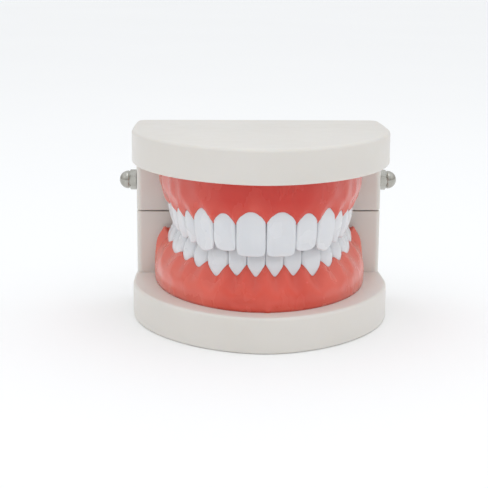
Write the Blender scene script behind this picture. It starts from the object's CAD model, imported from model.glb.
import bpy, bmesh, math
import numpy as np
from mathutils import Vector, Matrix


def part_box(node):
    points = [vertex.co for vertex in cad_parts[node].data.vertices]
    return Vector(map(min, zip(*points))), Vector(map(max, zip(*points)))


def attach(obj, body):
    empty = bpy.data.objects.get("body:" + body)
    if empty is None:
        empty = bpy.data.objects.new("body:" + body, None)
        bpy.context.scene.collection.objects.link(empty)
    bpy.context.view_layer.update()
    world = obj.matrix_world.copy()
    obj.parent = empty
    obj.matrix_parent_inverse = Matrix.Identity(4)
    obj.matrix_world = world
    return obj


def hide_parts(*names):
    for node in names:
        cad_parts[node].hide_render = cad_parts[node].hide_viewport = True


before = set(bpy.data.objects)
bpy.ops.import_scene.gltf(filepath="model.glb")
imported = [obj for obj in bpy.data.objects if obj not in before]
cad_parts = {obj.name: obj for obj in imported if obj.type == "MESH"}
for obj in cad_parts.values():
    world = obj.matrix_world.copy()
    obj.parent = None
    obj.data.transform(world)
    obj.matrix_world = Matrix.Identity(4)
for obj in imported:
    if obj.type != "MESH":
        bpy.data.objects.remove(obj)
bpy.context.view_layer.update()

# All lengths below are in millimetres and turned into metres when a mesh is made.
MM = 0.001
scene = bpy.context.scene
scene.view_settings.view_transform = "Standard"
scene.view_settings.look = "None"


def box_mm(node):
    lo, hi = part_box(node)
    return np.array(lo) / MM, np.array(hi) / MM


LB, UB = box_mm("lower_base"), box_mm("upper_base")
ROD, NUT = box_mm("hinge_rod"), box_mm("hinge_cap_nuts")
LG, UG = box_mm("lower_gum"), box_mm("upper_gum")
HALF_W = LB[1][0]                       # 38
REAR = LB[1][1]                         # 32.5
FRONT = LB[0][1]                        # -32.5
TOP = UB[1][2]                          # 56
LOW_T = round(LG[0][2] - 0.05, 2)       # top face of the lower plate
UP_Z = round(UG[1][2] + 0.05, 2)        # under face of the upper plate
AXIS_Y = float(ROD[0][1] + ROD[1][1]) / 2
AXIS_Z = float(ROD[0][2] + ROD[1][2]) / 2
SEAM_LO = 29.35
SEAM_UP = float(UB[0][2])
WALL_F = REAR - 12.0
WALL_HW = 37.3
ARCH_Y = REAR - 14.0


# ------------------------------------------------------------------ materials
def new_mat(name):
    m = bpy.data.materials.new(name)
    m.use_nodes = True
    nt = m.node_tree
    nt.nodes.clear()
    out = nt.nodes.new("ShaderNodeOutputMaterial")
    bs = nt.nodes.new("ShaderNodeBsdfPrincipled")
    nt.links.new(bs.outputs[0], out.inputs[0])
    return m, nt, bs


def noise(nt, scale, detail=4.0, rough=0.5, vec=None, dist=0.0):
    n = nt.nodes.new("ShaderNodeTexNoise")
    n.inputs["Scale"].default_value = scale
    n.inputs["Detail"].default_value = detail
    n.inputs["Roughness"].default_value = rough
    n.inputs["Distortion"].default_value = dist
    if vec is not None:
        nt.links.new(vec, n.inputs["Vector"])
    return n.outputs[0]


def ramp(nt, fac, stops):
    r = nt.nodes.new("ShaderNodeValToRGB")
    els = r.color_ramp.elements
    while len(els) < len(stops):
        els.new(0.5)
    for e, (p, c) in zip(els, stops):
        e.position = p
        e.color = (c[0], c[1], c[2], 1.0)
    nt.links.new(fac, r.inputs[0])
    return r.outputs[0]


def rng(nt, fac, a, b, lo, hi):
    m = nt.nodes.new("ShaderNodeMapRange")
    m.inputs[1].default_value = a
    m.inputs[2].default_value = b
    m.inputs[3].default_value = lo
    m.inputs[4].default_value = hi
    nt.links.new(fac, m.inputs[0])
    return m.outputs[0]


def mix_rgb(nt, fac, a, b, mode="MIX"):
    m = nt.nodes.new("ShaderNodeMix")
    m.data_type = "RGBA"
    m.blend_type = mode
    for sock, v in ((m.inputs[0], fac), (m.inputs[6], a), (m.inputs[7], b)):
        if isinstance(v, (int, float)):
            sock.default_value = v
        elif isinstance(v, tuple):
            sock.default_value = (v[0], v[1], v[2], 1.0)
        else:
            nt.links.new(v, sock)
    return m.outputs[2]


def bump(nt, bs, heights):
    """heights: list of (socket, distance in metres, strength), chained."""
    last = None
    for h, dist, st in heights:
        b = nt.nodes.new("ShaderNodeBump")
        b.inputs["Strength"].default_value = st
        b.inputs["Distance"].default_value = dist
        nt.links.new(h, b.inputs["Height"])
        if last is not None:
            nt.links.new(last, b.inputs["Normal"])
        last = b.outputs[0]
    nt.links.new(last, bs.inputs["Normal"])


def coords(nt):
    g = nt.nodes.new("ShaderNodeTexCoord")
    return g.outputs["Object"]


def mapping(nt, vec, scale):
    m = nt.nodes.new("ShaderNodeMapping")
    m.inputs["Scale"].default_value = scale
    nt.links.new(vec, m.inputs["Vector"])
    return m.outputs[0]


def mat_base():
    m, nt, bs = new_mat("base_plastic")
    v = coords(nt)
    n1 = noise(nt, 38.0, 3.0, 0.5, v)
    col = ramp(nt, n1, [(0.3, (0.708, 0.678, 0.634)), (0.7, (0.742, 0.715, 0.676))])
    n2 = noise(nt, 900.0, 2.0, 0.5, v)
    col = mix_rgb(nt, rng(nt, n2, 0.55, 0.8, 0.0, 0.10), col, (0.70, 0.66, 0.60))
    nt.links.new(col, bs.inputs["Base Color"])
    nt.links.new(rng(nt, noise(nt, 160.0, 4.0, 0.6, v), 0.3, 0.7, 0.30, 0.42), bs.inputs["Roughness"])
    bs.inputs["IOR"].default_value = 1.49
    bs.inputs["Subsurface Weight"].default_value = 0.25
    bs.inputs["Subsurface Radius"].default_value = (1.0, 0.8, 0.6)
    bs.inputs["Subsurface Scale"].default_value = 0.0012
    bump(nt, bs, [(noise(nt, 2600.0, 2.0, 0.5, v), 0.00003, 0.25),
                  (noise(nt, 70.0, 2.0, 0.5, v), 0.0002, 0.10)])
    return m


def mat_gum():
    m, nt, bs = new_mat("gum_plastic")
    v = coords(nt)
    streak = noise(nt, 1.0, 3.0, 0.5, mapping(nt, v, (150.0, 150.0, 95.0)))
    n1 = noise(nt, 90.0, 3.0, 0.5, v)
    col = ramp(nt, n1, [(0.25, (0.660, 0.078, 0.050)), (0.75, (0.760, 0.112, 0.076))])
    xyz = nt.nodes.new("ShaderNodeSeparateXYZ")
    nt.links.new(v, xyz.inputs[0])
    # deeper red towards the upper plate
    col = mix_rgb(nt, rng(nt, xyz.outputs[2], 0.033, 0.041, 0.0, 1.0), col, (0.600, 0.040, 0.026))
    col = mix_rgb(nt, rng(nt, streak, 0.50, 0.78, 0.0, 0.22), col, (0.80, 0.19, 0.140))
    # paler and pinker round the sides
    mag = nt.nodes.new("ShaderNodeMath")
    mag.operation = "ABSOLUTE"
    nt.links.new(xyz.outputs[0], mag.inputs[0])
    col = mix_rgb(nt, rng(nt, mag.outputs[0], 0.010, 0.030, 0.0, 0.42), col, (0.78, 0.26, 0.200))
    nt.links.new(col, bs.inputs["Base Color"])
    nt.links.new(rng(nt, streak, 0.3, 0.75, 0.20, 0.34), bs.inputs["Roughness"])
    bs.inputs["IOR"].default_value = 1.42
    bs.inputs["Subsurface Weight"].default_value = 0.35
    bs.inputs["Subsurface Radius"].default_value = (1.0, 0.35, 0.25)
    bs.inputs["Subsurface Scale"].default_value = 0.0016
    bs.inputs["Coat Weight"].default_value = 0.15
    bs.inputs["Coat Roughness"].default_value = 0.16
    bump(nt, bs, [(streak, 0.00040, 0.40), (noise(nt, 1500.0, 2.0, 0.5, v), 0.00003, 0.30)])
    return m


def mat_tooth():
    m, nt, bs = new_mat("tooth_enamel")
    v = coords(nt)
    n1 = noise(nt, 90.0, 3.0, 0.5, v)
    col = ramp(nt, n1, [(0.3, (0.705, 0.722, 0.752)), (0.7, (0.762, 0.773, 0.798))])
    fine = noise(nt, 1.0, 3.0, 0.5, mapping(nt, v, (300.0, 300.0, 1400.0)))
    col = mix_rgb(nt, rng(nt, fine, 0.5, 0.8, 0.0, 0.10), col, (0.80, 0.78, 0.72))
    nt.links.new(col, bs.inputs["Base Color"])
    nt.links.new(rng(nt, n1, 0.3, 0.7, 0.20, 0.30), bs.inputs["Roughness"])
    bs.inputs["IOR"].default_value = 1.52
    bs.inputs["Subsurface Weight"].default_value = 0.35
    bs.inputs["Subsurface Radius"].default_value = (1.0, 0.9, 0.8)
    bs.inputs["Subsurface Scale"].default_value = 0.0010
    bump(nt, bs, [(fine, 0.00004, 0.30), (noise(nt, 260.0, 2.0, 0.5, v), 0.00008, 0.20)])
    return m


def mat_nut():
    m, nt, bs = new_mat("nut_steel")
    v = coords(nt)
    n1 = noise(nt, 500.0, 4.0, 0.6, v)
    col = ramp(nt, n1, [(0.3, (0.38, 0.37, 0.335)), (0.7, (0.50, 0.488, 0.45))])
    nt.links.new(col, bs.inputs["Base Color"])
    bs.inputs["Metallic"].default_value = 1.0
    nt.links.new(rng(nt, n1, 0.3, 0.7, 0.11, 0.22), bs.inputs["Roughness"])
    scr = noise(nt, 1.0, 3.0, 0.5, mapping(nt, v, (900.0, 5000.0, 5000.0)))
    bump(nt, bs, [(scr, 0.00002, 0.25)])
    return m


def mat_rod():
    m, nt, bs = new_mat("rod_steel")
    v = coords(nt)
    scr = noise(nt, 1.0, 3.0, 0.5, mapping(nt, v, (4000.0, 300.0, 300.0)))
    col = ramp(nt, scr, [(0.3, (0.46, 0.46, 0.46)), (0.7, (0.60, 0.60, 0.59))])
    nt.links.new(col, bs.inputs["Base Color"])
    bs.inputs["Metallic"].default_value = 1.0
    nt.links.new(rng(nt, scr, 0.3, 0.7, 0.26, 0.40), bs.inputs["Roughness"])
    bump(nt, bs, [(scr, 0.00002, 0.3)])
    return m


M_BASE, M_GUM, M_TOOTH, M_NUT, M_ROD = mat_base(), mat_gum(), mat_tooth(), mat_nut(), mat_rod()
SLOT_MAT = {"base_plastic": M_BASE, "gum_plastic": M_GUM, "tooth_enamel": M_TOOTH,
            "nut_steel": M_NUT, "rod_steel": M_ROD}


# ------------------------------------------------------------------ mesh tools
def make_obj(name, verts, faces, mat=None, smooth=True, merge=None):
    me = bpy.data.meshes.new(name)
    me.from_pydata([tuple(float(c) * MM for c in v) for v in verts], [], faces)
    bm = bmesh.new()
    bm.from_mesh(me)
    if merge:
        bmesh.ops.remove_doubles(bm, verts=bm.verts, dist=merge * MM)
    bmesh.ops.recalc_face_normals(bm, faces=bm.faces)
    bm.to_mesh(me)
    bm.free()
    me.polygons.foreach_set("use_smooth", [smooth] * len(me.polygons))
    o = bpy.data.objects.new(name, me)
    scene.collection.objects.link(o)
    if mat:
        me.materials.append(mat)
    return o


def loft(rings, cap=True):
    """rings: list of equal-length closed point loops."""
    n = len(rings[0])
    verts = [p for r in rings for p in r]
    faces = []
    for i in range(len(rings) - 1):
        for k in range(n):
            a, b = i * n + k, i * n + (k + 1) % n
            faces.append((a, b, b + n, a + n))
    if cap:
        faces.append(tuple(range(n)))
        faces.append(tuple((len(rings) - 1) * n + k for k in range(n)))
    return verts, faces


def apply_mods(o):
    dg = bpy.context.evaluated_depsgraph_get()
    dg.update()
    me = bpy.data.meshes.new_from_object(o.evaluated_get(dg))
    old = o.data
    o.modifiers.clear()
    o.data = me
    bpy.data.meshes.remove(old)
    return o


def boolean(o, other, op):
    m = o.modifiers.new("b", "BOOLEAN")
    m.operation = op
    m.solver = "EXACT"
    m.object = other
    apply_mods(o)
    bpy.data.objects.remove(other)
    return o


def smooth_by_angle(o, deg=30.0):
    me = o.data
    me.polygons.foreach_set("use_smooth", [True] * len(me.polygons))
    bm = bmesh.new()
    bm.from_mesh(me)
    for e in bm.edges:
        if len(e.link_faces) == 2:
            e.smooth = e.calc_face_angle(0.0) < math.radians(deg)
    bm.to_mesh(me)
    bm.free()


# ------------------------------------------------------------------ bases
PLATE_YC = REAR - 21.3
PLATE_N = 1.83
CORNER_R = 3.0


def side_x(y):
    return HALF_W - 0.9 * ((y - PLATE_YC) / (REAR - PLATE_YC)) ** 2


def plate_outline():
    pts = []
    nf = 150
    for i in range(nf + 1):
        t = math.pi + i * math.pi / nf
        c, s = math.cos(t), math.sin(t)
        pts.append((HALF_W * math.copysign(abs(c) ** (2 / PLATE_N), c),
                    PLATE_YC - (PLATE_YC - FRONT) * abs(s) ** (2 / PLATE_N)))
    ys = [PLATE_YC + i * (REAR - CORNER_R - PLATE_YC) / 12 for i in range(1, 12)]
    pts += [(side_x(y), y) for y in ys]
    xc = side_x(REAR - CORNER_R) - CORNER_R
    pts += [(xc + CORNER_R * math.cos(t), REAR - CORNER_R + CORNER_R * math.sin(t))
            for t in np.linspace(0, math.pi / 2, 12)]
    pts += [(x, REAR) for x in np.linspace(xc, -xc, 30)[1:-1]]
    pts += [(-xc + CORNER_R * math.cos(t), REAR - CORNER_R + CORNER_R * math.sin(t))
            for t in np.linspace(math.pi / 2, math.pi, 12)]
    pts += [(-side_x(y), y) for y in reversed(ys)]
    p = np.array(pts)
    # resample evenly so that the rounded rim is made of even quads
    q = np.vstack([p, p[:1]])
    d = np.r_[0, np.cumsum(np.linalg.norm(np.diff(q, axis=0), axis=1))]
    s = np.linspace(0, d[-1], 361)[:-1]
    return np.c_[np.interp(s, d, q[:, 0]), np.interp(s, d, q[:, 1])]


def normals2(p):
    t = np.roll(p, -1, 0) - np.roll(p, 1, 0)
    t /= np.linalg.norm(t, axis=1)[:, None]
    return np.c_[t[:, 1], -t[:, 0]]      # outward for a counter-clockwise loop


def plate(name, z0, z1, r_top, r_bot):
    p = plate_outline()
    n = normals2(p)
    prof = []
    for k in range(7):
        a = math.radians(90 * k / 6)
        prof.append((r_bot * (1 - math.sin(a)), z0 + r_bot * (1 - math.cos(a))))
    for f in (0.25, 0.5, 0.75):
        prof.append((0.0, z0 + r_bot + f * (z1 - z0 - r_bot - r_top)))
    for k in range(7):
        a = math.radians(90 * k / 6)
        prof.append((r_top * (1 - math.cos(a)), z1 - r_top * (1 - math.sin(a))))
    rings = [[(x - i * nx, y - i * ny, z) for (x, y), (nx, ny) in zip(p, n)] for i, z in prof]
    v, f = loft(rings, cap=True)
    return make_obj(name, v, f, M_BASE)


def rounded_rect(x0, x1, y0, y1, rf, rr, seg=10):
    """Counter-clockwise loop; rf rounds the front (low y) corners, rr the rear ones."""
    pts = []
    for cx, cy, r, a0 in ((x0 + rf, y0 + rf, rf, 180), (x1 - rf, y0 + rf, rf, 270),
                          (x1 - rr, y1 - rr, rr, 0), (x0 + rr, y1 - rr, rr, 90)):
        for a in np.linspace(a0, a0 + 90, seg):
            pts.append((cx + r * math.cos(math.radians(a)), cy + r * math.sin(math.radians(a))))
    return np.array(pts)


def block(name, outline, z0, z1, r_top=0.0, r_bot=0.0):
    n = normals2(outline)
    prof = []
    if r_bot > 0:
        prof += [(r_bot * (1 - math.sin(a)), z0 + r_bot * (1 - math.cos(a))) for a in np.linspace(0, math.pi / 2, 5)]
    else:
        prof.append((0, z0))
    if r_top > 0:
        prof += [(r_top * (1 - math.cos(a)), z1 - r_top * (1 - math.sin(a))) for a in np.linspace(0, math.pi / 2, 5)]
    else:
        prof.append((0, z1))
    rings = [[(x - i * nx, y - i * ny, z) for (x, y), (nx, ny) in zip(outline, n)] for i, z in prof]
    v, f = loft(rings)
    return make_obj(name, v, f, M_BASE)


def prism_x(name, yz, x0, x1, r=0.0):
    """A closed yz profile swept along X, its end edges rounded by r."""
    p = np.array(yz, float)
    n = normals2(p)
    area = 0.5 * np.sum(p[:, 0] * np.roll(p[:, 1], -1) - np.roll(p[:, 0], -1) * p[:, 1])
    if area < 0:
        n = -n
    prof = [(0, x0), (0, x1)] if r <= 0 else (
        [(r * (1 - math.sin(a)), x0 + r * (1 - math.cos(a))) for a in np.linspace(0, math.pi / 2, 4)]
        + [(r * (1 - math.cos(a)), x1 - r * (1 - math.sin(a))) for a in np.linspace(0, math.pi / 2, 4)])
    rings = [[(x, y - i * ny, z - i * nz) for (y, z), (ny, nz) in zip(p, n)] for i, x in prof]
    v, f = loft(rings)
    return make_obj(name, v, f, M_BASE)


def cyl_x(name, r, x0, x1, y, z, seg=64):
    ring = [(y + r * math.cos(a), z + r * math.sin(a)) for a in np.linspace(0, 2 * math.pi, seg + 1)[:-1]]
    return prism_x(name, ring, x0, x1)


KN_HW = 18.0
KN_GAP = 0.4
KN_R = 6.0

lower = plate("lower_base_v", 0.0, LOW_T, 1.0, 0.7)
wall = block("wall_l", rounded_rect(-WALL_HW, WALL_HW, WALL_F, REAR - 0.02, 1.7, 2.6), LOW_T - 2.0, SEAM_LO, 0.35)
arc = [(AXIS_Y + KN_R * math.cos(a), AXIS_Z + KN_R * math.sin(a)) for a in np.linspace(0, math.pi, 40)]
knuckle = prism_x("kn", [(WALL_F + 0.02, SEAM_LO - 3.0), (REAR - 0.04, SEAM_LO - 3.0)] +
                  [(min(max(y, WALL_F + 0.02), REAR - 0.04), z) for y, z in arc], -KN_HW, KN_HW, 0.35)
boolean(wall, knuckle, "UNION")
boolean(lower, wall, "UNION")
boolean(lower, cyl_x("bore", 1.55, -60, 60, AXIS_Y, AXIS_Z), "DIFFERENCE")
smooth_by_angle(lower, 32)

upper = plate("upper_base_v", UP_Z, TOP, 1.0, 0.7)
wall = block("wall_u", rounded_rect(-WALL_HW, WALL_HW, WALL_F, REAR - 0.02, 1.7, 2.6), SEAM_UP, UP_Z + 2.0, 0.0, 0.35)
notch = block("notch", rounded_rect(-KN_HW - KN_GAP, KN_HW + KN_GAP, WALL_F - 3, REAR + 3, 0.5, 0.5), SEAM_UP - 3, UP_Z)
boolean(wall, notch, "DIFFERENCE")
LUG_R = AXIS_Z - SEAM_UP
cut = [(AXIS_Y + LUG_R * math.cos(a), AXIS_Z + LUG_R * math.sin(a)) for a in np.linspace(-math.pi / 2, 0, 48)]
boolean(wall, prism_x("cut", cut + [(REAR + 6, AXIS_Z), (REAR + 6, SEAM_UP - 3), (AXIS_Y, SEAM_UP - 3)], -60, 60), "DIFFERENCE")
boolean(upper, wall, "UNION")
boolean(upper, cyl_x("bore", 1.55, -60, 60, AXIS_Y, AXIS_Z), "DIFFERENCE")
smooth_by_angle(upper, 32)


# ------------------------------------------------------------------ arches
UA, UBB, UN = 26.7, 44.3, 2.3           # labial contact line, upper
LA, LBB, LN = 27.0, 41.2, 2.0           # lower
_T = np.linspace(-math.pi / 2, math.pi / 2, 8001)


class Arch:
    def __init__(self, a, b, e, widths, z0, d):
        self.a, self.b, self.e, self.z0, self.dir = a, b, e, z0, d     # z = z0 + dir * g
        self.x = a * np.sign(_T) * np.abs(np.sin(_T)) ** (2 / e)
        self.y = -b * np.abs(np.cos(_T)) ** (2 / e)
        s = np.r_[0, np.cumsum(np.hypot(np.diff(self.x), np.diff(self.y)))]
        self.s = s - s[len(s) // 2]
        self.w = widths
        self.edge = np.r_[0, np.cumsum(widths)]
        self.mid = (self.edge[1:] + self.edge[:-1]) / 2

    def t(self, s):
        """how far round the arch, -90 .. 90 degrees in equal lengths"""
        return math.pi / 2 * s / self.s[-1]

    def frame(self, s):
        x, y = float(np.interp(s, self.s, self.x)), float(np.interp(s, self.s, self.y))
        n = np.array([math.copysign(abs(x / self.a) ** (self.e - 1), x) / self.a,
                      -abs(y / self.b) ** (self.e - 1) / self.b])
        n /= np.linalg.norm(n)
        return np.array([x, ARCH_Y + y]), n, np.array([-n[1], n[0]])      # point, outward, towards +X along the arch

    def s_end(self):
        return float(self.s[-1])


UP = Arch(UA, UBB, UN, [8.2, 6.9, 7.6, 6.2, 6.0, 10.2, 9.6], UP_Z, -1)
LO = Arch(LA, LBB, LN, [5.1, 5.5, 7.3, 7.0, 6.6, 10.2, 9.4], LOW_T, 1)


def lerp(a, b, t):
    return a + (b - a) * t


def sstep(x, a, b):
    t = min(1.0, max(0.0, (x - a) / (b - a)))
    return t * t * (3 - 2 * t)


def interp_tab(tab, x):
    return float(np.interp(x, [q[0] for q in tab], [q[1] for q in tab]))


# ------------------------------------------------------------------ teeth
# Local frame of a tooth: x distal along the arch, y outward, h from the gum to
# the biting edge. All tables are (height share, value).
KINDS = {
    "central_u": dict(flat=2.8,
        half=[(0, .40), (.12, .45), (.22, .478), (.31, .492), (.5, .497), (.75, .5), (.92, .492), (1, .455)],
        lab=[(0, .55), (.12, .85), (.3, 1.0), (.6, .80), (.85, .42), (1, .10)],
        lin=[(0, -5.3), (.15, -5.6), (.35, -4.6), (.6, -2.7), (.85, -1.35), (1, -.95)],
        n=[(0, 2.1), (.4, 2.5), (1, 3.4)], taper=.40, mes=.32, dis=.62, tip=0.0, p=4.5, cusps=None),
    "lateral_u": dict(flat=2.2,
        half=[(0, .39), (.12, .44), (.22, .470), (.31, .488), (.5, .497), (.75, .5), (.92, .490), (1, .455)],
        lab=[(0, .45), (.12, .72), (.3, .9), (.6, .68), (.85, .3), (1, .0)],
        lin=[(0, -4.9), (.15, -5.1), (.35, -4.2), (.6, -2.5), (.85, -1.35), (1, -1.0)],
        n=[(0, 2.1), (.4, 2.4), (1, 3.0)], taper=.40, mes=.40, dis=.95, tip=0.0, p=3.0, cusps=None),
    "canine_u": dict(flat=1.2,
        half=[(0, .38), (.12, .44), (.22, .472), (.31, .490), (.5, .498), (.72, .5), (.87, .488), (1, .42)],
        lab=[(0, .7), (.12, 1.05), (.3, 1.3), (.6, 1.1), (.85, .65), (1, .25)],
        lin=[(0, -6.3), (.15, -6.6), (.35, -5.8), (.6, -3.9), (.85, -1.9), (1, -1.15)],
        n=[(0, 2.1), (.4, 2.3), (1, 2.4)], taper=.40, mes=.0, dis=.0, tip=1.45, p=1.45, cusps=None),
    "incisor_l": dict(flat=2.2,
        half=[(0, .34), (.15, .39), (.3, .445), (.42, .482), (.55, .497), (.75, .5), (.93, .5), (1, .488)],
        lab=[(0, .35), (.12, .55), (.3, .70), (.6, .62), (.85, .35), (1, .05)],
        lin=[(0, -4.9), (.15, -5.0), (.35, -4.0), (.6, -2.5), (.85, -1.4), (1, -1.0)],
        n=[(0, 2.1), (.4, 2.3), (1, 3.2)], taper=.40, mes=.06, dis=.14, tip=0.0, p=4.0, cusps=None),
    "canine_l": dict(flat=1.0,
        half=[(0, .34), (.15, .39), (.3, .445), (.42, .480), (.55, .496), (.72, .5), (.88, .47), (1, .37)],
        lab=[(0, .55), (.12, .8), (.3, 1.05), (.6, .95), (.85, .55), (1, .15)],
        lin=[(0, -6.0), (.15, -6.2), (.35, -5.2), (.6, -3.4), (.85, -1.8), (1, -1.1)],
        n=[(0, 2.0), (.4, 2.0), (1, 2.2)], taper=.36, mes=.0, dis=.0, tip=1.3, p=1.25, cusps=None),
    "premolar_u": dict(flat=0.2,
        half=[(0, .39), (.12, .44), (.25, .482), (.5, .498), (.7, .5), (.88, .465), (1, .39)],
        lab=[(0, .55), (.15, 1.0), (.35, 1.2), (.6, 1.0), (.85, .5), (1, -.15)],
        lin=[(0, -7.2), (.15, -7.8), (.4, -8.3), (.65, -8.1), (.85, -7.5), (1, -6.7)],
        n=[(0, 2.2), (.5, 2.3), (1, 2.2)], taper=.16, mes=0, dis=0, tip=0, p=2,
        cusps=[(0, -1.15, 1.35, 1.9, 1.5), (0, -6.1, .95, 1.9, 1.6)], fiss=[("x", -3.6, .9, .75)]),
    "premolar_l": dict(flat=0.2,
        half=[(0, .36), (.15, .41), (.3, .465), (.45, .492), (.7, .5), (.88, .468), (1, .40)],
        lab=[(0, .35), (.15, .75), (.35, 1.0), (.6, .75), (.85, .0), (1, -.75)],
        lin=[(0, -6.2), (.15, -6.7), (.4, -7.2), (.65, -7.1), (.85, -6.6), (1, -6.0)],
        n=[(0, 2.2), (.5, 2.3), (1, 2.2)], taper=.14, mes=0, dis=0, tip=0, p=2,
        cusps=[(0, -1.6, 1.2, 1.9, 1.5), (0, -5.4, .7, 1.8, 1.4)], fiss=[("x", -3.5, .8, .65)]),
    "molar_u": dict(flat=0.3,
        half=[(0, .40), (.12, .445), (.3, .478), (.55, .5), (.75, .492), (.9, .455), (1, .40)],
        lab=[(0, .75), (.15, 1.05), (.35, 1.15), (.6, 1.0), (.85, .55), (1, -.05)],
        lin=[(0, -8.9), (.15, -9.4), (.4, -9.9), (.65, -9.7), (.85, -9.0), (1, -8.1)],
        n=[(0, 2.6), (.5, 3.0), (1, 2.8)], taper=.07, mes=0, dis=0, tip=0, p=2,
        cusps=[(-2.1, -1.5, 1.25, 1.6, 1.6), (2.2, -1.6, 1.1, 1.6, 1.6),
               (-1.9, -7.0, 1.1, 1.8, 1.7), (2.4, -6.9, .75, 1.4, 1.4)],
        fiss=[("x", -4.2, .9, .85), ("y", 0.15, .75, .6)]),
    "molar_l": dict(flat=0.3,
        half=[(0, .38), (.12, .43), (.3, .47), (.55, .5), (.75, .492), (.9, .455), (1, .40)],
        lab=[(0, .35), (.15, .8), (.35, 1.0), (.6, .7), (.85, -.1), (1, -.85)],
        lin=[(0, -8.0), (.15, -8.5), (.4, -9.1), (.65, -9.0), (.85, -8.5), (1, -7.8)],
        n=[(0, 2.6), (.5, 3.0), (1, 2.8)], taper=.06, mes=0, dis=0, tip=0, p=2,
        cusps=[(-2.3, -1.9, 1.0, 1.6, 1.5), (1.9, -1.9, .95, 1.5, 1.5),
               (-2.2, -6.7, 1.1, 1.6, 1.5), (2.0, -6.6, 1.0, 1.6, 1.5)],
        fiss=[("x", -4.3, .9, .8), ("y", -0.1, .75, .6)]),
}
NAMES = ["central_incisor", "lateral_incisor", "canine", "first_premolar",
         "second_premolar", "first_molar", "second_molar"]
# kind, root-side height g of the crown start, tip height g (both from the plate)
UPPER = [("central_u", 39.2, 25.6), ("lateral_u", 38.4, 26.75), ("canine_u", 38.6, 25.75),
         ("premolar_u", 37.2, 26.7), ("premolar_u", 37.0, 26.95), ("molar_u", 37.2, 27.75), ("molar_u", 37.0, 28.45)]
LOWER = [("incisor_l", 18.4, 27.2), ("incisor_l", 18.4, 27.4), ("canine_l", 17.6, 28.0),
         ("premolar_l", 18.6, 27.85), ("premolar_l", 19.0, 27.95), ("molar_l", 19.2, 27.9), ("molar_l", 20.6, 28.45)]


def cusp_field(K, x, y, W):
    if not K["cusps"]:
        return 0.0
    f = 0.0
    sx = W / (10.0 if "molar" in K["id"] and "pre" not in K["id"] else 7.0)
    for cx, cy, h, wx, wy in K["cusps"]:
        f = max(f, 0) + h * math.exp(-((x - cx * sx) / (wx * sx)) ** 2 - ((y - cy) / wy) ** 2)
    for ax, c, depth, wd in K["fiss"]:
        q = (y - c) if ax == "x" else (x - c)
        f -= depth * math.exp(-(q / wd) ** 2) * (1 - min(1.0, abs(2 * x / W)) ** 3 if ax == "x" else 0.8)
    return f


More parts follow.
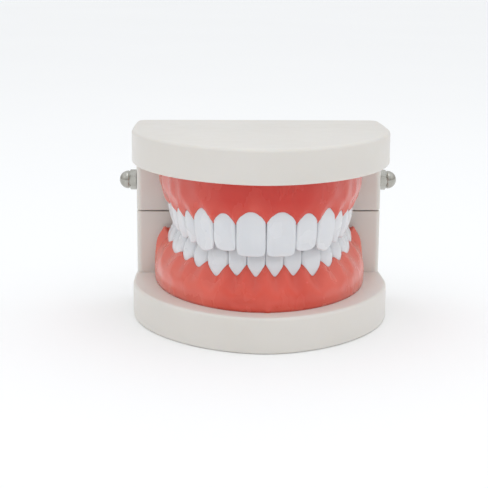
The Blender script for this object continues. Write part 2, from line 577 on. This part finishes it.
def tooth_mesh(arch, side, i, kind, z_neck, z_tip):
    K = dict(KINDS[kind], id=kind)
    W = arch.w[i] - 0.01
    p, n, tx = arch.frame(side * arch.mid[i])
    H = abs(z_tip - z_neck)
    top_f = max(cusp_field(K, x, y, W) for x in np.linspace(-W / 2, W / 2, 15) for y in np.linspace(-9, 0, 19)) if K["cusps"] else 0.0
    H0 = H - top_f                        # border height so that the highest cusp reaches the tip
    NT = 48
    th = np.linspace(0, 2 * math.pi, NT + 1)[:-1]

    def ring(h, scale=1.0, capz=None):
        a = interp_tab(K["half"], h) * W
        yl, yg, nn = interp_tab(K["lab"], h), interp_tab(K["lin"], h), interp_tab(K["n"], h)
        yc = yl - min(0.42 * (yl - yg), 2.4)
        if not K["cusps"]:
            yc = yl - min(0.5 * (yl - yg), 1.6)
        out = []
        for t in th:
            c, s = math.cos(t), math.sin(t)
            ne = nn + K.get("flat", 0.0) if s > 0 else nn
            xx = a * math.copysign(abs(c) ** (2 / ne), c)
            yy = math.copysign(abs(s) ** (2 / ne), s)
            y = yc + (yy * (yl - yc) if yy >= 0 else -yy * (yg - yc))
            depth = max(0.0, (yc - y) / max(3.0, yc - yg))
            x = xx * (1 - K["taper"] * depth)
            if scale != 1.0:
                ym = (yl + yg) / 2
                x, y = x * scale, ym + (y - ym) * scale
            out.append((x, y))
        return out

    rings = []
    hs = list(np.linspace(-0.22, 0, 4)[:-1]) + list(np.linspace(0, 0.9, 13)) + [0.94, 0.97, 0.99, 1.0]

    def z_of(h, x, y):
        base = H0 * h
        w = sstep(h, 0.55, 1.0)
        u = abs(2 * x / W)
        if K["cusps"]:
            return base + w * cusp_field(K, x, y, W)
        if K["tip"]:
            slope = K["tip"] * (u ** K["p"]) * (1.15 if x > 0 else 0.9)
            return base - w * slope
        return base - w * (K["dis"] if x > 0 else K["mes"]) * (u ** K["p"]) * 1.6

    for h in hs:
        hh = max(h, 0.0)
        shrink = 1.0 + min(h, 0.0) * 0.5
        rings.append([(x * shrink, y, z_of(h, x, y)) for x, y in ring(hh)])
    # rounding over the border, then the biting surface
    if K["cusps"]:
        caps = [(0.975, .05), (0.93, .10), (0.86, .10), (0.76, .06), (0.64, .0), (0.5, 0), (0.36, 0), (0.22, 0), (0.1, 0)]
    else:
        caps = [(0.93, .10), (0.80, .20), (0.60, .28), (0.35, .32), (0.12, .33)]
    for sc, dz in caps:
        rings.append([(x, y, z_of(1.0, x, y) + dz) for x, y in ring(1.0, sc)])
    verts, faces = loft(rings, cap=False)
    nr = len(rings)
    c = np.mean(np.array(rings[-1]), axis=0)
    verts.append(tuple(c))
    ci = len(verts) - 1
    for k in range(NT):
        faces.append(((nr - 1) * NT + k, (nr - 1) * NT + (k + 1) % NT, ci))
    faces.append(tuple(range(NT)))
    # soft grooves down the labial face of the front teeth and the buccal face of molars
    world = []
    over = 0.33 if not K["cusps"] else 0.0
    for x, y, z in verts:
        u = 2 * x / W
        if y > -2.0:
            g = min(1.0, max(0.0, z / H))
            if kind in ("central_u", "lateral_u"):
                y -= 0.10 * g * math.exp(-((abs(u) - 0.36) / 0.16) ** 2)
            elif kind == "incisor_l":
                y -= 0.05 * g * math.exp(-((abs(u) - 0.36) / 0.16) ** 2)
            elif kind.startswith("molar"):
                y -= 0.45 * sstep(g, 0.2, 0.9) * math.exp(-((u - 0.02) / 0.14) ** 2)
            elif kind.startswith("premolar") or kind.startswith("canine"):
                y -= 0.16 * g * math.exp(-((abs(u) - 0.55) / 0.2) ** 2)
        q = p + n * y + tx * (x * side)
        world.append((q[0], q[1], z_neck + arch.dir * z * (H / (H + over))))
    return world, faces


teeth = {}
for arch, rows, pre in ((UP, UPPER, "upper"), (LO, LOWER, "lower")):
    for side, sn in ((-1, "right"), (1, "left")):
        for i, (kind, zn, zt) in enumerate(rows):
            nm = f"{pre}_{sn}_{NAMES[i]}"
            v, f = tooth_mesh(arch, side, i, kind, zn, zt)
            o = make_obj(nm + "_v", v, f, M_TOOTH)
            sub = o.modifiers.new("s", "SUBSURF")
            sub.levels = sub.render_levels = 1
            teeth[nm] = o


# ------------------------------------------------------------------ gums
# g is the distance from the plate. Rows a tooth: margin at its middle, then the
# tip of the papilla on its far side.
U_APEX = [UP_Z - z for z in (38.4, 37.6, 38.2, 36.5, 36.1, 36.4, 36.3)]
U_PAP = [UP_Z - z for z in (35.0, 34.6, 34.3, 34.0, 33.9, 33.9, 34.0, 34.6)]
L_APEX = [z - LOW_T for z in (19.2, 19.2, 18.3, 19.6, 20.2, 20.6, 22.0)]
L_PAP = [z - LOW_T for z in (22.6, 22.4, 22.0, 21.8, 21.6, 21.9, 23.0, 22.8)]


def tooth_at(arch, s):
    """index and share (-0.5 .. 0.5) across the tooth at arc length s"""
    q = abs(s)
    for i in range(7):
        if q <= arch.edge[i + 1]:
            return i, (q - arch.mid[i]) / arch.w[i]
    return 7, min(1.0, (q - arch.edge[7]) / 2.6) - 0.5


def vee(u, a, b):
    """1 at the middle of a tooth, 0 at the papilla: straight sides, rounded at both ends"""
    w = 1 - (math.hypot(u, a) - a) / (math.hypot(1, a) - a)
    return (math.hypot(w, b) - b) / (math.hypot(1, b) - b)


def margin(arch, s, apex, pap, power, arch_like):
    i, ph = tooth_at(arch, s)
    if i == 7:
        return pap[7] + (1.2 if arch.dir < 0 else 1.5) * sstep(ph + 0.5, 0.0, 1.0), 0.0
    gp = lerp(pap[i], pap[i + 1], ph + 0.5)
    u = min(1.0, abs(2 * ph))
    if arch_like:                        # round arch, rounded papilla tip
        if u < 0.8:
            sh = (1 - u ** 2.4 - 0.22) / 0.78
        else:
            q = (u - 0.8) / 0.2
            sh = (2 * q ** 3 - 3 * q ** 2 + 1) * 0.25 + (q ** 3 - 2 * q ** 2 + q) * -0.45
        sh = lerp(sh, vee(u, 0.35, 0.12), (0.0, 0.10, 0.30, 0.60, 0.60, 0.5, 0.5)[i])
    else:
        sh = vee(u, lerp(0.30, 0.50, sstep(i, 2, 5)), 0.20)
    return gp + (apex[i] - gp) * sh, sh


def gum_section(arch, s, up):
    """[(d, g)] from the plate on the outside, over the margin, to the inside."""
    t = abs(math.degrees(arch.t(s)))
    bk = sstep(t, 15, 60)
    apex, pap = (U_APEX, U_PAP) if up else (L_APEX, L_PAP)
    gm, sh = margin(arch, s, apex, pap, 0.72 if up else 0.78, up)
    i, ph = tooth_at(arch, s)
    em = 0.5 + 0.5 * math.cos(2 * math.pi * ph) if i < 7 else 0.0     # root eminence
    amp = ((0.55, 0.45, 0.70, 0.62, 0.60, 0.60, 0.50, 0.1) if up else (0.24, 0.26, 0.50, 0.36, 0.34, 0.36, 0.30, 0.1))[i]
    f7 = sstep(ph + 0.5, 0.0, 1.0) if i == 7 else 0.0
    cu = 1 - min(1.0, abs(2 * ph)) ** (3.6 if i < 3 else 2.6) if i < 7 else 0.0     # follows the face of the crown
    if up:
        ctrl = [(0.0, lerp(2.3, 3.5, bk)), (0.35, lerp(2.1, 3.5, bk)), (0.62, lerp(1.9, 3.1, bk)), (0.85, lerp(1.6, 2.1, bk))]
        lip = lerp(0.30, (0.98, 0.88, 1.18, 1.15, 1.15, 1.12, 1.08, 0.3)[i], cu)
        lip = lerp(lip, 1.1, f7)
        T = lerp(6.2, 10.0, bk)
    else:
        ctrl = [(0.0, lerp(4.0, 4.7, bk)), (0.30, lerp(4.35, 4.8, bk)), (0.55, lerp(3.9, 4.3, bk)), (0.82, lerp(2.2, 2.7, bk))]
        lip = lerp(lerp(0.15, 0.45, bk), (0.80, 0.80, 1.02, 0.95, 0.95, 0.92, 0.88, 0.4)[i], cu)
        if i == 7:
            ctrl[2] = (0.55, lerp(4.3, 4.6, f7)); ctrl[3] = (0.82, lerp(2.7, 3.9, f7))
        lip = lerp(lip, 2.3, f7)
        T = lerp(5.4, 9.2, bk)
    pts = []
    xs = [c[0] for c in ctrl] + [1.0]
    ys = [c[1] for c in ctrl] + [lip + 0.10]
    gbase = min(gm, lerp(gm, apex[min(i, 6)], 0.5)) if i < 7 else gm
    for f in np.linspace(0, 1, 15):
        g = gm * f
        # cubic through the controls
        d = catmull(xs, ys, f)
        win = math.sin(math.pi * min(1.0, f * 1.04)) ** 0.8 if f < 0.96 else 0.35
        d += amp * (em - 0.45) * (0.35 + 0.65 * f) * win
        if not up:                       # frenum and a fold in the gum beside it
            d += 0.50 * math.exp(-((s - 0.5) / 0.75) ** 2 - (g / 1.5) ** 2)
            d += 0.22 * math.exp(-((s + 5.0) / 3.4) ** 2 - ((g - 0.8) / 0.8) ** 2)
            d -= 0.34 * math.exp(-((s + 5.0) / 3.2) ** 2 - ((g - 2.4) / 0.65) ** 2)
        pts.append((d, g))
    # rolled lip
    r = lerp(0.32, 1.1, f7)
    for a in (25, 50, 75):
        q = math.radians(a)
        pts.append((lip + 0.10 - r * (1 - math.cos(q)), gm + r * math.sin(q) * 0.8))
    pts.append((lip - lerp(0.45, 1.25, f7), gm + lerp(0.10, 0.42, f7)))
    top_in = lerp(gm - lerp(0.5, 1.6, sh), gm + 0.45, f7)
    pts.append((lip - lerp(1.1, 1.8, f7), top_in))
    lg, lsh = margin(arch, s, [a + 0.8 for a in apex], [q - 0.4 for q in pap], 0.8, up)
    low = lerp(min(top_in, lg - lerp(0.5, 1.4, sh)), gm + 0.45, f7)
    pts.append((-0.45 * T, low))
    pts.append((-T + lerp(0.9, 1.6, f7), lerp(lg - lerp(0.5, 1.4, sh), lg + 0.35, f7)))
    pts.append((-T + lerp(0.25, 0.7, f7), lg + lerp(0.05, 0.05, f7)))
    for a, ga in ((60, -0.5), (20, -1.3)):
        q = math.radians(a)
        pts.append((-T - 0.32 * math.cos(q) + 0.1, lerp(lg + 0.22 * math.sin(q), lg + ga, f7)))
    return pts, T, lg, gm


def catmull(xs, ys, x):
    n = len(xs)
    k = max(0, min(n - 2, int(np.searchsorted(xs, x, side="right")) - 1))
    x0, x1 = xs[k], xs[k + 1]
    m = []
    for j in (k, k + 1):
        if j == 0:
            m.append((ys[1] - ys[0]) / (xs[1] - xs[0]))
        elif j == n - 1:
            m.append((ys[-1] - ys[-2]) / (xs[-1] - xs[-2]))
        else:
            m.append((ys[j + 1] - ys[j - 1]) / (xs[j + 1] - xs[j - 1]))
    h = x1 - x0
    u = (x - x0) / h
    return ((2 * u ** 3 - 3 * u ** 2 + 1) * ys[k] + (u ** 3 - 2 * u ** 2 + u) * h * m[0]
            + (-2 * u ** 3 + 3 * u ** 2) * ys[k + 1] + (u ** 3 - u ** 2) * h * m[1])


def palate_g(x, y, xi, g_in):
    """Distance of the palate's surface from the plate, at x of a half-width xi."""
    u = min(1.0, abs(x) / max(xi, 0.5))
    base = 4.0 + (g_in - 4.0) * (u ** 3.2)
    front = sstep(-y, 4.0, 22.0)
    base += front * 2.2 * (1 - u ** 3)
    # rugae behind the front teeth
    w = math.exp(-((y + 10.0) / 6.0) ** 2)
    ph = (y + 0.30 * abs(x) + 0.5 * math.sin(abs(x) * 0.9)) * 2 * math.pi / 3.3
    base += 0.62 * w * (0.5 + 0.5 * math.cos(ph)) * (1 - math.exp(-(x / 0.9) ** 2)) * (1 - u ** 4)
    # raphe along the middle
    base += 0.35 * math.exp(-(x / 0.55) ** 2) * sstep(y, -20, -14)
    return base


def gum(up):
    arch = UP if up else LO
    s_end = arch.s_end()
    extra = 1.5
    half = list(np.linspace(0, s_end, 190))
    stations = [(s, 0.0) for s in half] + [(s_end, e) for e in (0.3, 0.6, 0.88, 1.1, 1.27, 1.39, 1.46, extra)]
    left = [(-s, e) for s, e in stations[::-1]][:-1]
    rows = []
    for s, e in left + stations:
        sec, T, lg, gm = gum_section(arch, s, up)
        p, n, tx = arch.frame(s)
        # rounded rear end
        f = e / extra
        shrink = 1.5 * (1 - math.sqrt(max(0.0, 1 - f * f)))
        pts = []
        for d, g in sec:
            gg = g - shrink * (g / 10.0)
            dd = d - shrink * (1 if d > -T / 2 else -1)
            q = p + n * dd
            pts.append([q[0], q[1] + e, arch.z0 + arch.dir * gg])
        # inner wall down to the floor or up to the palate
        x_in, y_in = pts[-1][0], pts[-1][1]
        g_in = abs(pts[-1][2] - arch.z0)
        bk = sstep(abs(math.degrees(arch.t(s))), 15, 60)
        if up:
            reach = lerp(3.6, 3.9, bk)
            for f2 in (0.12, 0.3, 0.5, 0.72, 0.9, 1.0):
                d2 = -T - 0.2 - reach * (f2 ** 1.5)
                g2 = lerp(g_in, 5.2, f2 ** 0.9 * 0.75)
                q = p + n * d2
                pts.append([q[0], q[1] + e, arch.z0 + arch.dir * g2])
            x_w, y_w = pts[-1][0], pts[-1][1]
            g_w = abs(pts[-1][2] - arch.z0)
            for u in np.linspace(0, 1, 16)[1:]:
                x = x_w * (1 - u)
                y = y_w
                pts.append([x, y, arch.z0 + arch.dir * palate_g(x, y, abs(x_w), g_w)])
        else:
            for f2 in (0.15, 0.35, 0.6, 0.85, 1.0):
                d2 = -T - 0.2 - lerp(3.0, 3.2, bk) * (f2 ** 0.8)
                g2 = g_in * (1 - f2)
                q = p + n * d2
                pts.append([q[0], q[1] + e, arch.z0 + arch.dir * max(g2, 0.0)])
        rows.append(pts)
    m = len(rows[0])
    R = len(rows)
    verts = [tuple(v) for r in rows for v in r]
    faces = []
    for i in range(R - 1):
        for k in range(m - 1):
            a = i * m + k
            faces.append((a, a + 1, a + m + 1, a + m))
    if not up:
        for i in range(R - 1):            # underside on the plate
            faces.append((i * m + m - 1, i * m, (i + 1) * m, (i + 1) * m + m - 1))
        faces.append(tuple(range(m)))
        faces.append(tuple((R - 1) * m + k for k in range(m)))
        o = make_obj("lower_gum_v", verts, faces, M_GUM, merge=0.0005)
    else:
        # flat top against the plate: first point of each row is on the plate
        base = len(verts)
        for r in rows:
            verts.append((0.0, r[-1][1], arch.z0))
        for i in range(R - 1):
            faces.append((i * m, (i + 1) * m, base + i + 1, base + i))
        # rear ends: section of the first and last rows
        faces.append(tuple([k for k in range(m)] + [base]))
        faces.append(tuple([(R - 1) * m + k for k in range(m)] + [base + R - 1]))
        o = make_obj("upper_gum_v", verts, faces, M_GUM, merge=0.002)
    return o


g_low = gum(False)
g_up = gum(True)


# ------------------------------------------------------------------ nuts and rod
def cap_nut(side):
    hex_r = 5.5 / math.cos(math.radians(30)) / 2
    x0 = WALL_HW + 0.05
    L = NUT[1][0] - x0
    hx = 2.2
    dr = 2.75
    NS = 72
    prof = []                            # (x along the axis, radius, is hex)
    prof += [(0.0, 1.53, 0), (0.0, 2.45, 0), (0.22, hex_r + 0.2, 1), (hx - 0.28, hex_r + 0.2, 1), (hx, 2.62, 0),
             (hx + 0.10, 2.58, 0), (hx + 0.22, 2.68, 0)]
    zc = L - dr
    for a in np.linspace(0, 90, 14)[:-1]:
        q = math.radians(a)
        prof.append((zc + dr * math.sin(q), dr * math.cos(q), 0))
    rings = []
    for x, r, hxg in prof:
        ring = []
        for k in range(NS):
            a = 2 * math.pi * k / NS
            rr = r
            if hxg:
                f = (a % (math.pi / 3)) - math.pi / 6
                flat = 2.75 / math.cos(f)
                rr = min(flat, hex_r - 0.03)
            ring.append((side * (x0 + x), AXIS_Y + rr * math.cos(a + math.pi / 6), AXIS_Z + rr * math.sin(a + math.pi / 6)))
        rings.append(ring)
    verts, faces = loft(rings, cap=False)
    verts.append((side * (x0 + L), AXIS_Y, AXIS_Z))
    ci = len(verts) - 1
    b = (len(rings) - 1) * NS
    faces += [(b + k, b + (k + 1) % NS, ci) for k in range(NS)]
    # blind hole behind
    inner = [(side * (x0 + L - 1.3), AXIS_Y + 1.53 * math.cos(2 * math.pi * k / NS + math.pi / 6),
              AXIS_Z + 1.53 * math.sin(2 * math.pi * k / NS + math.pi / 6)) for k in range(NS)]
    ib = len(verts)
    verts += inner
    faces += [(k, (k + 1) % NS, ib + (k + 1) % NS, ib + k) for k in range(NS)]
    faces.append(tuple(ib + k for k in range(NS)))
    o = make_obj("cap_nut_left_v" if side > 0 else "cap_nut_right_v", verts, faces, M_NUT)
    smooth_by_angle(o, 28)
    return o


nuts = [cap_nut(1), cap_nut(-1)]


def rod():
    hl = ROD[1][0]
    prof = [(-hl, 1.05), (-hl + 0.35, 1.42)]
    x = -hl + 0.5
    while x < -hl + 6.0:                  # thread under each nut
        prof += [(x, 1.48), (x + 0.25, 1.28)]
        x += 0.5
    prof += [(-hl + 6.2, 1.5), (-18.4, 1.5), (0, 1.5), (18.4, 1.5), (hl - 6.2, 1.5)]
    x = hl - 6.0
    while x < hl - 0.5:
        prof += [(x, 1.28), (x + 0.25, 1.48)]
        x += 0.5
    prof += [(hl - 0.35, 1.42), (hl, 1.05)]
    NS = 48
    rings = [[(x, AXIS_Y + r * math.cos(2 * math.pi * k / NS), AXIS_Z + r * math.sin(2 * math.pi * k / NS)) for k in range(NS)] for x, r in prof]
    v, f = loft(rings)
    o = make_obj("hinge_rod_v", v, f, M_ROD)
    smooth_by_angle(o, 30)
    return o


rod_o = rod()

# ------------------------------------------------------------------ riding
for o, node, body, sl in ((lower, "lower_base", "lower_jaw", "base_plastic"),
                          (upper, "upper_base", "upper_jaw", "base_plastic"),
                          (g_low, "lower_gum", "lower_jaw", "gum_plastic"),
                          (g_up, "upper_gum", "upper_jaw", "gum_plastic"),
                          (rod_o, "hinge_rod", "upper_jaw", "rod_steel")):
    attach(o, body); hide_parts(node)
for o in nuts:
    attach(o, "upper_jaw"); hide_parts("hinge_cap_nuts")
for nm, o in teeth.items():
    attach(o, nm.split("_")[0] + "_jaw"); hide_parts(nm)

# ------------------------------------------------------------------ stage
floor_m, nt, bs = new_mat("floor_white")
v = coords(nt)
nt.links.new(ramp(nt, noise(nt, 3.0, 2.0, 0.5, v), [(0.3, (0.975, 0.975, 0.975)), (0.7, (0.985, 0.985, 0.985))]), bs.inputs["Base Color"])
bs.inputs["Roughness"].default_value = 0.7
fm = bpy.data.meshes.new("floor")
R = 6.0
fm.from_pydata([(-R, -R, 0), (R, -R, 0), (R, R, 0), (-R, R, 0)], [], [(0, 1, 2, 3)])
fm.materials.append(floor_m)
floor = bpy.data.objects.new("floor", fm)
scene.collection.objects.link(floor)

world = bpy.data.worlds.new("studio")
scene.world = world
world.use_nodes = True
wn = world.node_tree
wn.nodes.clear()
wo = wn.nodes.new("ShaderNodeOutputWorld")
bg = wn.nodes.new("ShaderNodeBackground")
bg.inputs["Strength"].default_value = 1.0
tc = wn.nodes.new("ShaderNodeTexCoord")
sep = wn.nodes.new("ShaderNodeSeparateXYZ")
wn.links.new(tc.outputs["Generated"], sep.inputs[0])
wn.links.new(ramp(wn, rng(wn, sep.outputs[2], -1.0, 1.0, 0.0, 1.0),
                  [(0.48, (0.56, 0.555, 0.545)), (0.60, (0.66, 0.655, 0.645)), (0.80, (0.97, 0.985, 1.0)), (1.0, (1.0, 1.03, 1.06))]),
             bg.inputs["Color"])
wn.links.new(bg.outputs[0], wo.inputs[0])


def area(name, loc, target, size, power, size_y=None):
    l = bpy.data.lights.new(name, "AREA")
    l.energy = power
    l.size = size
    l.color = (0.975, 0.99, 1.0) if name == "key_top" else (1.0, 0.99, 0.975)
    if size_y:
        l.shape = "RECTANGLE"
        l.size_y = size_y
    o = bpy.data.objects.new(name, l)
    scene.collection.objects.link(o)
    o.location = loc
    d = Vector(target) - Vector(loc)
    o.rotation_euler = d.to_track_quat("-Z", "Y").to_euler()
    return o


area("key_top", (0.0, -0.15, 0.75), (0, 0, 0.03), 0.7, 0.70, 0.5)
area("side_left", (-0.65, -0.20, 0.28), (0, 0, 0.03), 0.45, 0.10, 0.55)
area("side_right", (0.65, -0.20, 0.28), (0, 0, 0.03), 0.45, 0.13, 0.55)
area("front", (0.0, -0.85, 0.22), (0, 0, 0.03), 0.5, 0.035, 0.4)

# ------------------------------------------------------------------ camera
cam = bpy.data.cameras.new("cam")
cam.sensor_width = 36.0
cam.sensor_fit = "HORIZONTAL"
cam.lens = 1298.32 / 488 * 36.0
cam.clip_start = 0.01
cam.clip_end = 50
co = bpy.data.objects.new("cam", cam)
scene.collection.objects.link(co)
yaw, pitch, roll = math.radians(1.8676), math.radians(12.3755), math.radians(-0.3762)
fw = Vector((math.sin(yaw) * math.cos(pitch), math.cos(yaw) * math.cos(pitch), -math.sin(pitch)))
rt = Vector((math.cos(yaw), -math.sin(yaw), 0.0))
dn = fw.cross(rt)
xr = math.cos(roll) * rt + math.sin(roll) * dn
yd = -math.sin(roll) * rt + math.cos(roll) * dn
mw = Matrix.Identity(4)
for r in range(3):
    mw[r][0], mw[r][1], mw[r][2] = xr[r], -yd[r], -fw[r]
mw[0][3], mw[1][3], mw[2][3] = -0.017205, (-401.819 + 32.5) * MM, 0.104699
co.matrix_world = mw
scene.camera = co

# ------------------------------------------------------------------ sizes
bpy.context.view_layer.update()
